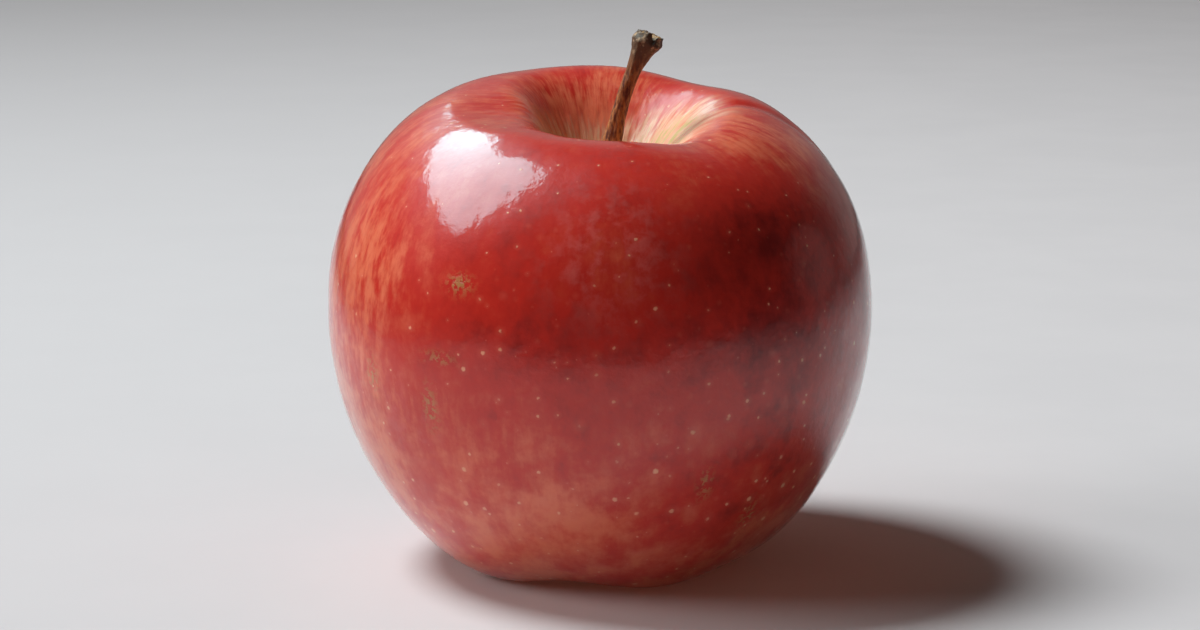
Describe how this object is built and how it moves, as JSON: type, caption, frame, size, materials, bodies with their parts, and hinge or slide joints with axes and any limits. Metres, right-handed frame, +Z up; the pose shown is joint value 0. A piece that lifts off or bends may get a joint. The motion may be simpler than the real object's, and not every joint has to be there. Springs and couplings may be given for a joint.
{
  "type": "apple",
  "caption": "Whole red apple with a leaning woody stem in a deep cavity, a lobed base to stand on, and dried sepals and stamens in the basin underneath.",
  "frame": {"origin": "middle of the apple's outline seen from above, on the surface it stands on", "axes": "+Z is up, along the core; -Y is the front; the stem leans towards +X"},
  "size_m": [0.076, 0.076, 0.0746],
  "materials": {
    "skin": "gloss",
    "stem_wood": "matte",
    "dried_sepal": "matte",
    "dried_stamen": "matte"
  },
  "bodies": {
    "root": {"fruit": "skin", "stem": "stem_wood", "sepal_1": "dried_sepal", "sepal_2": "dried_sepal", "sepal_3": "dried_sepal", "sepal_4": "dried_sepal", "sepal_5": "dried_sepal", "stamens": "dried_stamen"}
  },
  "joints": []
}
